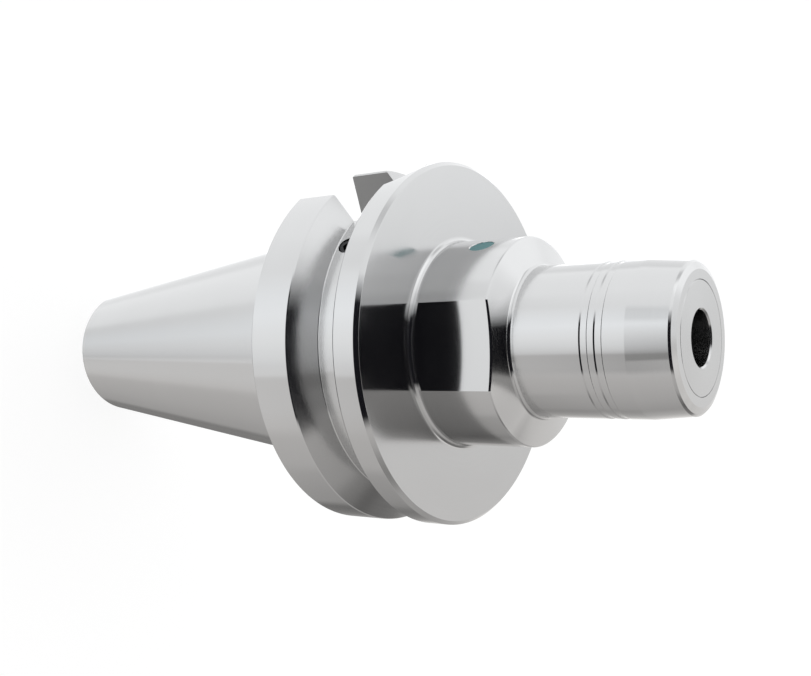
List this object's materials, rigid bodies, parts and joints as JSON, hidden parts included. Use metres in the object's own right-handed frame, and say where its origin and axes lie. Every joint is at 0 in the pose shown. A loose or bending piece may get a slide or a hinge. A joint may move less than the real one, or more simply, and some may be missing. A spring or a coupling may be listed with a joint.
{
  "type": "hydraulic chuck",
  "caption": "Hydraulic expansion chuck for a round tool shank, on a steep machine taper with a gripper groove and drive slots.",
  "frame": {"origin": "centre of the small end of the taper, on the plane that the chuck stands on", "axes": "+Z along the spindle axis from the pull stud end to the nose, drive slots at +Y and -Y"},
  "size_m": [0.1, 0.1, 0.2068],
  "materials": {
    "ground_steel": "ground and polished",
    "sleeve_steel": "fine ground",
    "black_steel": "black oxide",
    "piston_steel": "lapped",
    "seal_rubber": "smooth",
    "backup_plastic": "smooth",
    "plug_steel": "turned",
    "ball_steel": "polished",
    "cap_teal": "smooth"
  },
  "bodies": {
    "chuck": {"chuck_body": "ground_steel", "expansion_sleeve": "sleeve_steel", "duct_plug_cup": "plug_steel", "duct_plug_ball": "ball_steel", "bleed_ball": "ball_steel", "bleed_screw": "black_steel", "bleed_cap": "cap_teal", "coolant_duct_screws": "black_steel", "coolant_inlet_screws": "black_steel"},
    "piston": {"pressure_piston": "piston_steel", "piston_seal": "seal_rubber", "piston_backup_ring": "backup_plastic"},
    "pressure_screw": {"pressure_screw": "black_steel"},
    "stop_ring": {"stop_screw_seal": "seal_rubber"},
    "stop_screw": {"stop_screw": "black_steel"}
  },
  "joints": [
    {"name": "piston_slide", "type": "slide", "parent": "chuck", "child": "piston", "axis": [0.279, 0.9603, 0], "range_m": [0, 0.0035]},
    {"name": "pressure_screw_turn", "type": "hinge", "parent": "piston", "child": "pressure_screw", "pos_m": [-0.0182, 0.00008, 0.1523], "axis": [0.279, 0.9603, 0], "range_deg": [0, 1260.5]},
    {"name": "stop_screw_slide", "type": "slide", "parent": "chuck", "child": "stop_ring", "axis": [0, 0, 1], "range_m": [0, 0.0095]},
    {"name": "stop_screw_turn", "type": "hinge", "parent": "stop_ring", "child": "stop_screw", "pos_m": [0, 0, 0.1518], "axis": [0, 0, 1], "range_deg": [0, 3420.5]}
  ],
  "couplings": [
    {"joint": "pressure_screw_turn", "follows": "piston_slide", "rad_per_m": 6283.2},
    {"joint": "stop_screw_turn", "follows": "stop_screw_slide", "rad_per_m": 6283.2}
  ]
}
